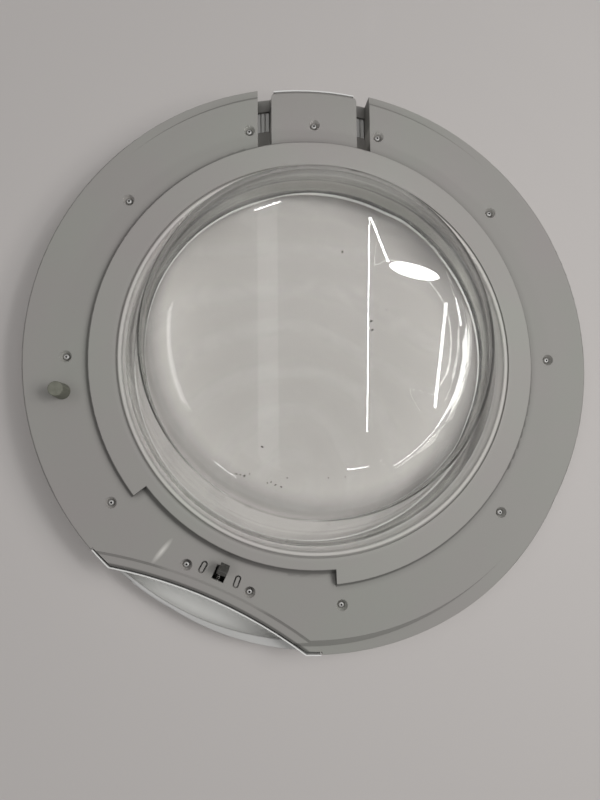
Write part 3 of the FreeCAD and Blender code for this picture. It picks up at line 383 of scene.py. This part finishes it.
def pressed_glass():
    """Soda-lime glass: clear, faintly green in depth, rippled where the press met it, and painted darker on
    its shoulder as shade.

    A film of hard water, wiped in rings, hangs on it like a haze.
    """
    material, tree, shader = new_material("pressed_soda_lime_glass", {
        "Transmission Weight": 1.0, "Roughness": 0.0, "IOR": 1.52})
    output = tree.nodes["Material Output"]
    place = add(tree, "ShaderNodeTexCoord").outputs["Object"]
    wave = add(tree, "ShaderNodeTexNoise", {"Vector": place, "Scale": per_metre(45), "Detail": 1.0})
    inside = add(tree, "ShaderNodeAttribute", attribute_name="pressed").outputs["Fac"]
    bump = add(tree, "ShaderNodeBump", {
        "Height": wave.outputs["Fac"], "Strength": inside, "Distance": 0.03 * MM})
    tree.links.new(bump.outputs["Normal"], shader.inputs["Normal"])

    # Painted shade: the glass is tinted darker where its surface tilts, on the shoulder.
    normal = add(tree, "ShaderNodeNewGeometry").outputs["Normal"]
    facing = add(tree, "ShaderNodeSeparateXYZ", {"Vector": normal}).outputs["Z"]
    upright = add(tree, "ShaderNodeMath", {0: facing}, operation="ABSOLUTE")
    shoulder_shade = add(tree, "ShaderNodeValToRGB", {"Fac": upright}, stops=[
        (0.45, linear("#E9E9E7")), (0.65, linear("#BCBCBA")),
        (0.8, linear("#C2C2C0")), (0.96, linear("#E9E9E6"))])
    tree.links.new(shoulder_shade.outputs["Color"], shader.inputs["Base Color"])

    film = add(tree, "ShaderNodeTexNoise", {
        "Vector": place, "Scale": per_metre(60), "Detail": 3.0, "Distortion": 1.5})
    wiped = add(tree, "ShaderNodeTexWave", {
        "Vector": add(tree, "ShaderNodeMapping", {"Vector": place, "Location": WIPE_SHIFT}),
        "Scale": WAVE_LENGTH * per_metre(WIPE_SPACING),
        "Distortion": 6.0, "Detail": 3.0, "Detail Scale": 0.6},
        wave_type="RINGS", rings_direction="Z")
    hazy = add(tree, "ShaderNodeMath", {0: film.outputs["Fac"], 1: wiped.outputs["Fac"]},
               operation="MULTIPLY")
    filmed = add(tree, "ShaderNodeMapRange", {
        "Value": hazy, "From Min": 0.25, "From Max": 0.6, "To Max": 0.06})
    limescale = add(tree, "ShaderNodeBsdfDiffuse", {"Color": linear("#EDECE8")})
    coated = add(tree, "ShaderNodeMixShader", {"Fac": filmed, 1: shader, 2: limescale})
    tree.links.new(coated.outputs["Shader"], output.inputs["Surface"])
    depth = add(tree, "ShaderNodeVolumeAbsorption", {"Color": linear("#C9D6CF"), "Density": 15.0})
    tree.links.new(depth.outputs["Volume"], output.inputs["Volume"])
    return material


def zinc_steel():
    """Zinc-plated steel: a dulled cool metal with a faint uneven tarnish, and painted shade deep in its
    sockets.
    """
    material, tree, shader = new_material("zinc_plated_steel", {"Metallic": 1.0})
    place = add(tree, "ShaderNodeTexCoord").outputs["Object"]
    tarnish = add(tree, "ShaderNodeTexNoise", {"Vector": place, "Scale": per_metre(2.5), "Detail": 3.0})
    gloss = add(tree, "ShaderNodeMapRange", {"Value": tarnish.outputs["Fac"], "To Min": 0.4, "To Max": 0.6})
    colour = add(tree, "ShaderNodeValToRGB", {"Fac": tarnish.outputs["Fac"]},
                 stops=[(0.0, linear("#A6A5A3")), (1.0, linear("#C4C3C1"))])
    # Painted shade: the socket is darkened from ambient occlusion.
    hollow = add(tree, "ShaderNodeAmbientOcclusion", {"Distance": 1.5 * MM}, samples=6, only_local=True)
    socket_shade = add(tree, "ShaderNodeMapRange", {
        "Value": hollow.outputs["AO"], "From Min": 0.45, "From Max": 0.9, "To Min": 0.06, "To Max": 1.0})
    toned = add(tree, "ShaderNodeVectorMath", {0: colour, "Scale": socket_shade}, operation="SCALE")
    tree.links.new(toned.outputs["Vector"], shader.inputs["Base Color"])
    tree.links.new(gloss.outputs["Result"], shader.inputs["Roughness"])
    return material


def dark_acetal():
    """Moulded acetal: dark grey and waxy, a little paler where it has been rubbed."""
    material, tree, shader = new_material("moulded_dark_acetal", {"Roughness": 0.42, "IOR": 1.48})
    place = add(tree, "ShaderNodeTexCoord").outputs["Object"]
    paleness = add(tree, "ShaderNodeTexNoise", {"Vector": place, "Scale": per_metre(4), "Detail": 4.0})
    colour = add(tree, "ShaderNodeValToRGB", {"Fac": paleness.outputs["Fac"]},
                 stops=[(0.35, linear("#393835")), (0.75, linear("#4C4B48"))])
    tree.links.new(colour.outputs["Color"], shader.inputs["Base Color"])
    return material


def spring_steel():
    """Drawn spring wire: dark steel with an even shine, unevenly oiled."""
    material, tree, shader = new_material("drawn_spring_steel", {"Metallic": 1.0, "Roughness": 0.32})
    place = add(tree, "ShaderNodeTexCoord").outputs["Object"]
    oil = add(tree, "ShaderNodeTexNoise", {"Vector": place, "Scale": per_metre(1.5), "Detail": 2.0})
    colour = add(tree, "ShaderNodeValToRGB", {"Fac": oil.outputs["Fac"]},
                 stops=[(0.0, linear("#6E6C68")), (1.0, linear("#9A9894"))])
    tree.links.new(colour.outputs["Color"], shader.inputs["Base Color"])
    return material


def rubber(name, dark, light):
    """Moulded or extruded rubber: dull and slightly dusty, with a fine uneven surface."""
    material, tree, shader = new_material(name, {"Roughness": 0.7, "IOR": 1.5})
    place = add(tree, "ShaderNodeTexCoord").outputs["Object"]
    dust = add(tree, "ShaderNodeTexNoise", {"Vector": place, "Scale": per_metre(3), "Detail": 5.0})
    colour = add(tree, "ShaderNodeValToRGB", {"Fac": dust.outputs["Fac"]},
                 stops=[(0.3, linear(dark)), (0.7, linear(light))])
    bump = add(tree, "ShaderNodeBump", {
        "Height": dust.outputs["Fac"], "Strength": 0.2, "Distance": 0.1 * MM})
    tree.links.new(colour.outputs["Color"], shader.inputs["Base Color"])
    tree.links.new(bump.outputs["Normal"], shader.inputs["Normal"])
    return material


def dried_dirt():
    """Dried dirt: dark brown-grey and dull."""
    material, tree, shader = new_material("dried_dirt", {"Roughness": 0.9})
    place = add(tree, "ShaderNodeTexCoord").outputs["Object"]
    crumbs = add(tree, "ShaderNodeTexNoise", {"Vector": place, "Scale": per_metre(0.4), "Detail": 3.0})
    colour = add(tree, "ShaderNodeValToRGB", {"Fac": crumbs.outputs["Fac"]},
                 stops=[(0.0, linear("#2B2723")), (1.0, linear("#443E37"))])
    tree.links.new(colour.outputs["Color"], shader.inputs["Base Color"])
    return material


def new_piece(name, points, faces, material, sharp_above=math.pi):
    """Smooth-shaded mesh object in the door's frame, with edges over an angle left sharp."""
    mesh = bpy.data.meshes.new(name)
    mesh.from_pydata(points, [], faces)
    mesh.materials.append(material)
    mesh.polygons.foreach_set("use_smooth", [True] * len(mesh.polygons))
    mesh.set_sharp_from_angle(angle=sharp_above)
    made = bpy.data.objects.new(name, mesh)
    bpy.context.scene.collection.objects.link(made)
    return made


def band(first, around):
    """Faces between a ring of points, which starts at an index, and the ring that comes after it."""
    faces = []
    for step in range(around):
        near = first + step
        near_after = first + (step + 1) % around
        faces.append((near, near + around, near_after + around, near_after))
    return faces


def rounded(corners):
    """Points along an open line through (radius, height, rounding) corners, with arcs for the roundings."""
    line = []
    for index, (radius, height, rounding) in enumerate(corners):
        here = Vector((radius, height))
        if not rounding:
            line.append(here)
            continue
        back = Vector(corners[index - 1][:2]) - here
        ahead = Vector(corners[index + 1][:2]) - here
        half = back.angle(ahead) / 2
        reach = rounding / math.tan(half)
        middle = (back.normalized() + ahead.normalized()).normalized()
        centre = here + middle * (rounding / math.sin(half))
        start = here + back.normalized() * reach - centre
        turn = start.angle_signed(here + ahead.normalized() * reach - centre)
        steps = max(ARC_LEAST, int(abs(turn) * rounding / ARC_STEP))
        for step in range(steps + 1):
            angle = -turn * step / steps
            line.append(centre + Matrix.Rotation(angle, 2) @ start)
    return line


def even(line, spacing):
    """Points added on the long straight runs of a line, so that none is longer than the spacing."""
    dense = []
    for start, end in zip(line, line[1:]):
        pieces = max(1, math.ceil((end - start).length / spacing))
        dense += [start.lerp(end, piece / pieces) for piece in range(pieces)]
    return dense + [line[-1]]


def dish(radius, angle):
    """Height that the inner face has gained at a place, where the end of the bowl thins outwards."""
    near = min(1.0, max(0.0, (math.cos(angle - DISH_SIDE) - DISH_SIDE_EDGE) / DISH_SIDE_FADE))
    out = radius - DISH_START + DISH_INROAD * near * near * (3 - 2 * near)
    if out < 0:
        return 0.0
    if out < DISH_RAMP:
        return DISH_SLOPE * out ** 2 / (2 * DISH_RAMP)
    return DISH_SLOPE * (out - DISH_RAMP / 2)


def glass_bowl():
    """Bowl turned from its two faces, then leaned: the polished outside and the rippled inside."""
    low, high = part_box("glass_bowl")
    flange_radius = (high.x - low.x) / 2
    slope = math.tan(CONE_ANGLE)
    inner_radius = NECK_RADIUS - WALL_THICKNESS
    across = WALL_THICKNESS / math.cos(CONE_ANGLE)
    inner_top = high.z - END_THICKNESS
    inner_neck = NECK_HEIGHT - WALL_THICKNESS * math.tan(CONE_ANGLE / 2)
    lean_start = NECK_HEIGHT - NECK_ROUND * math.tan(CONE_ANGLE / 2) - END_THICKNESS
    inner_end = NECK_RADIUS - across - slope * (inner_top - NECK_HEIGHT)
    under_flange = (flange_radius - SEAM_INSET, low.z, 0)
    outside = even(rounded([
        (0.0, high.z, 0),
        (NECK_RADIUS - slope * (high.z - NECK_HEIGHT), high.z, SHOULDER_ROUND),
        (NECK_RADIUS, NECK_HEIGHT, NECK_ROUND),
        (NECK_RADIUS, FLANGE_TOP, FLANGE_ROUND),
        (flange_radius, FLANGE_TOP, EDGE_ROUND),
        (flange_radius, low.z, EDGE_ROUND),
        under_flange,
    ]), RUN_STEP)
    inside = even(rounded([
        under_flange,
        (inner_radius, low.z, EDGE_ROUND),
        (inner_radius, inner_neck, NECK_ROUND + WALL_THICKNESS),
        (inner_end, inner_top, SHOULDER_ROUND - WALL_THICKNESS),
        (0.0, inner_top, 0),
    ]), RUN_STEP)
    profile = outside + inside[1:]
    rings = profile[1:-1]

    def leaned(x, y, z):
        share = max(0.0, (z - lean_start) / (high.z - lean_start))
        return (x + share * BOWL_LEAN.x, y + share * BOWL_LEAN.y, z)

    # The two middles come first, outside and inside, and then the rings
    points = [leaned(0, 0, profile[0].y), leaned(0, 0, profile[-1].y)]
    first = len(points)
    for index, (radius, height) in enumerate(rings):
        dished = 0.0
        if index >= len(outside) - 1:
            dished = max(0.0, (height - inner_neck) / (inner_top - inner_neck))
        for step in range(GLASS_STEPS):
            angle = 2 * math.pi * step / GLASS_STEPS
            gained = height + dished * dish(radius, angle)
            points.append(leaned(radius * math.cos(angle), radius * math.sin(angle), gained))
    faces = []
    last = len(points) - GLASS_STEPS
    for step in range(GLASS_STEPS):
        after = (step + 1) % GLASS_STEPS
        faces.append((0, first + step, first + after))
        faces.append((1, last + after, last + step))
    for ring in range(len(rings) - 1):
        faces += band(first + ring * GLASS_STEPS, GLASS_STEPS)
    bowl = new_piece("glass_bowl_pressed", points, faces, pressed_glass())
    pressed = bowl.data.attributes.new("pressed", "FLOAT", "POINT")
    outer_points = first + (len(outside) - 1) * GLASS_STEPS
    pressed.data.foreach_set("value", [float(i == 1 or i >= outer_points) for i in range(len(points))])
    bowl.visible_shadow = False
    bowl.visible_diffuse = False
    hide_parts("glass_bowl")
    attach(bowl, "door")


def specks():
    """Flakes of dried dirt that lie on the end of the bowl."""
    rng = random.Random(SPECK_SEED)
    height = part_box("glass_bowl")[1].z + SPECK_LIFT
    points = []
    faces = []
    for x, y, size in SPECKS:
        sides = rng.randint(*SPECK_SIDES)
        first = len(points)
        stretch = rng.uniform(*SPECK_STRETCH)
        lie = rng.uniform(0, math.pi)
        for corner in range(sides):
            angle = 2 * math.pi * corner / sides
            reach = size * MM / 2 * rng.uniform(*SPECK_EDGE)
            along = reach * stretch * math.cos(angle)
            aside = reach * math.sin(angle)
            points.append((
                x * MM + along * math.cos(lie) - aside * math.sin(lie),
                y * MM + along * math.sin(lie) + aside * math.cos(lie),
                height,
            ))
        faces.append(tuple(range(first, len(points))))
    flakes = new_piece("glass_dirt_specks", points, faces, dried_dirt())
    flakes.visible_shadow = False
    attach(flakes, "door")


def screw_rings(turns):
    """Rings of (radius, height) around a screw, from its socket's floor over the head to its tip."""
    rings = []
    lobes = [SOCKET_RADIUS + SOCKET_LOBE * math.cos(SOCKET_LOBES * turn) for turn in turns]
    for height in (SOCKET_FLOOR, HEAD_LINE[0][1] * MM):
        rings.append([(radius, height) for radius in lobes])
    for radius, height in HEAD_LINE:
        rings.append([(radius * MM, height * MM)] * len(turns))
    steps = int((HEAD_SEAT - SHANK_TIP) / (THREAD_PITCH / THREAD_RINGS))
    for step in range(steps + 1):
        height = HEAD_SEAT + (SHANK_TIP - HEAD_SEAT) * step / steps
        ring = []
        for turn in turns:
            phase = (height / THREAD_PITCH + turn / (2 * math.pi)) % 1.0
            ring.append((THREAD_CORE + THREAD_DEPTH * (1 - abs(2 * phase - 1)), height))
        rings.append(ring)
    return rings


def screws(name, node, places, material):
    """Pan-headed screws with a six-lobed socket and a cut thread, in place of the plain ones."""
    turns = [2 * math.pi * step / SCREW_STEPS for step in range(SCREW_STEPS)]
    rings = screw_rings(turns)
    points = []
    faces = []
    for index, (circle, degrees) in enumerate(places):
        angle = math.radians(degrees)
        middle = Vector((circle * math.cos(angle), circle * math.sin(angle), 0))
        first = len(points)
        lie = SCREW_TURN * index
        for ring in rings:
            for turn, (radius, height) in zip(turns, ring):
                points.append(middle + Vector((
                    radius * math.cos(turn + lie), radius * math.sin(turn + lie), height)))
        faces.append(tuple(first + step for step in range(SCREW_STEPS)))
        faces.append(tuple(len(points) - 1 - step for step in range(SCREW_STEPS)))
        for ring in range(len(rings) - 1):
            faces += band(first + ring * SCREW_STEPS, SCREW_STEPS)
    made = new_piece(name, points, faces, material, SCREW_SHARP)
    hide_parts(node)
    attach(made, "door")


def hook_spring():
    """Wire coil between the hook and its housing, at one length and riding the door."""
    along = Vector((math.cos(LATCH_ANGLE), math.sin(LATCH_ANGLE), 0))
    side = Vector((-along.y, along.x, 0))
    up = Vector((0, 0, 1))
    steps = SPRING_TURNS * SPRING_STEPS
    points = []
    for step in range(steps + 1):
        turn = 2 * math.pi * SPRING_TURNS * step / steps
        out = side * math.cos(turn) + up * math.sin(turn)
        length = SPRING_START + SPRING_WIRE + (SPRING_END - SPRING_START - 2 * SPRING_WIRE) * step / steps
        middle = along * length + up * SPRING_AXIS + out * SPRING_RADIUS
        for corner in range(WIRE_STEPS):
            angle = 2 * math.pi * corner / WIRE_STEPS
            points.append(middle + (out * math.cos(angle) + along * math.sin(angle)) * SPRING_WIRE)
    faces = [tuple(range(WIRE_STEPS)), tuple(steps * WIRE_STEPS + i for i in reversed(range(WIRE_STEPS)))]
    for step in range(steps):
        faces += band(step * WIRE_STEPS, WIRE_STEPS)
    coil = new_piece("hook_spring_coil", points, faces, spring_steel())
    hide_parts("hook_spring")
    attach(coil, "door")
    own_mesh(coil)


def finishes():
    """The carried-over solids get their materials, and detailed screws take the place of the plain ones."""
    steel = zinc_steel()
    acetal = dark_acetal()
    looks = {
        "front_ring": white_abs(),
        "rear_frame": grey_polypropylene(),
        "glass_gasket": rubber("extruded_gasket_rubber", "#7C7B78", "#868581"),
        "hook_pin": steel,
        "latch_housing": acetal,
        "latch_hook": acetal,
        "buffer": rubber("moulded_buffer_rubber", "#6C6D62", "#7A7B70"),
    }
    screws("frame_screws_lobed", "frame_screws", FRAME_SCREWS, steel)
    screws("latch_screws_lobed", "latch_screws", LATCH_SCREWS, steel)
    for node, look in looks.items():
        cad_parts[node].data.materials.clear()
        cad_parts[node].data.materials.append(look)


def floor():
    """Plain pale floor."""
    values = {"Base Color": linear("#C5C1BF"), "Roughness": 0.6, "Specular IOR Level": 0.2}
    material = new_material("pale_floor", values)[0]
    corners = [
        (-FLOOR_HALF, -FLOOR_HALF, 0), (FLOOR_HALF, -FLOOR_HALF, 0),
        (FLOOR_HALF, FLOOR_HALF, 0), (-FLOOR_HALF, FLOOR_HALF, 0),
    ]
    ground = new_piece("floor", corners, [(0, 1, 2, 3)], material)


def new_lamp(name, kind, place, power, colour="#FFFFFF"):
    """Lamp of a kind at a place."""
    lamp = bpy.data.lights.new(name, kind)
    lamp.energy = power
    lamp.color = linear(colour)[:3]
    made = bpy.data.objects.new(name, lamp)
    bpy.context.scene.collection.objects.link(made)
    made.location = place
    return made


def area_light(name, place, target, width, length, power, colour="#FFFFFF", turn=0.0):
    """Rectangular lamp aimed at a target, then turned by an angle in degrees about the vertical."""
    made = new_lamp(name, "AREA", place, power, colour)
    made.data.shape = "RECTANGLE"
    made.data.size = width
    made.data.size_y = length
    made.rotation_euler = (Vector(target) - Vector(place)).to_track_quat("-Z", "Y").to_euler()
    made.rotation_euler.z += math.radians(turn)
    return made


def gathered_light(name, place, power):
    """Small lamp under the glass that is itself unseen."""
    made = new_lamp(name, "POINT", place, power)
    made.data.shadow_soft_size = GATHERED_SIZE
    made.visible_camera = False
    made.visible_glossy = False
    made.visible_transmission = False


def lights():
    """Window to the right, and ceiling tubes and panels that draw lines and patches on the glass.

    Faint lamps under the glass stand for the light that the bowl gathers on its seat and on the floor.
    """
    window = area_light("window", place=(0.58, -0.03, 0.90), target=(0, 0, 0.1),
                        width=0.55, length=0.2, power=2.2, colour="#FFFDFA")
    window.visible_glossy = False
    area_light("far_lamp", place=(-0.82, -1.15, 0.86), target=(-0.07, -0.09, 0.11),
               width=0.28, length=0.04, power=0.4)
    for name, (x, y, width, length, power, turn) in CEILING_LAMPS.items():
        area_light(name, (x, y, CEILING_HEIGHT), (x, y, 0), width, length, power, turn=turn)
    bpy.data.lights["bright_panel"].shape = "ELLIPSE"
    for degrees in GATHERED_ANGLES:
        angle = math.radians(degrees)
        place = (GATHERED_RADIUS * math.cos(angle), GATHERED_RADIUS * math.sin(angle), GATHERED_HEIGHT)
        gathered_light(f"gathered_{degrees}", place, GATHERED_POWER)
    gathered_light("gathered_high", HIGH_PLACE, HIGH_POWER)


def room():
    """Pale room around the door, whose light on it comes mostly from overhead."""
    world = bpy.data.worlds.new("pale_room")
    world.use_nodes = True
    tree = world.node_tree
    direction = add(tree, "ShaderNodeTexCoord").outputs["Generated"]
    rise = add(tree, "ShaderNodeSeparateXYZ", {"Vector": direction}).outputs["Z"]
    overhead = add(tree, "ShaderNodeMath", {0: rise, 1: ROOM_GATHER}, operation="POWER")
    level = add(tree, "ShaderNodeMapRange", {
        "Value": overhead, "To Min": ROOM_SIDE, "To Max": ROOM_OVERHEAD})
    ray = add(tree, "ShaderNodeLightPath")
    seen = add(tree, "ShaderNodeMath", {0: ray.outputs["Is Camera Ray"], 1: ray.outputs["Is Glossy Ray"]})
    seen = add(tree, "ShaderNodeMath", {0: seen, 1: ray.outputs["Is Transmission Ray"]}, use_clamp=True)
    strength = add(tree, "ShaderNodeMix", {"Factor": seen, "A": level, "B": ROOM_SEEN})
    background = tree.nodes["Background"]
    background.inputs["Color"].default_value = linear("#FCFBFA")
    tree.links.new(strength.outputs["Result"], background.inputs["Strength"])
    bpy.context.scene.world = world


def camera():
    """Camera where the photograph was taken from."""
    lens = bpy.data.cameras.new("camera")
    lens.sensor_width = SENSOR_WIDTH
    lens.lens = PHOTO_FOCAL / PHOTO_HEIGHT * SENSOR_WIDTH
    lens.clip_start = NEAREST_SEEN
    made = bpy.data.objects.new("camera", lens)
    bpy.context.scene.collection.objects.link(made)
    turn = Matrix.Rotation(CAMERA_TURN_X, 4, "X") @ Matrix.Rotation(CAMERA_TURN_Y, 4, "Y")
    made.matrix_world = Matrix.Translation(CAMERA_PLACE) @ turn
    bpy.context.scene.camera = made


finishes()
glass_bowl()
specks()
hook_spring()
floor()
lights()
room()
camera()
bpy.context.scene.view_settings.view_transform = "Standard"
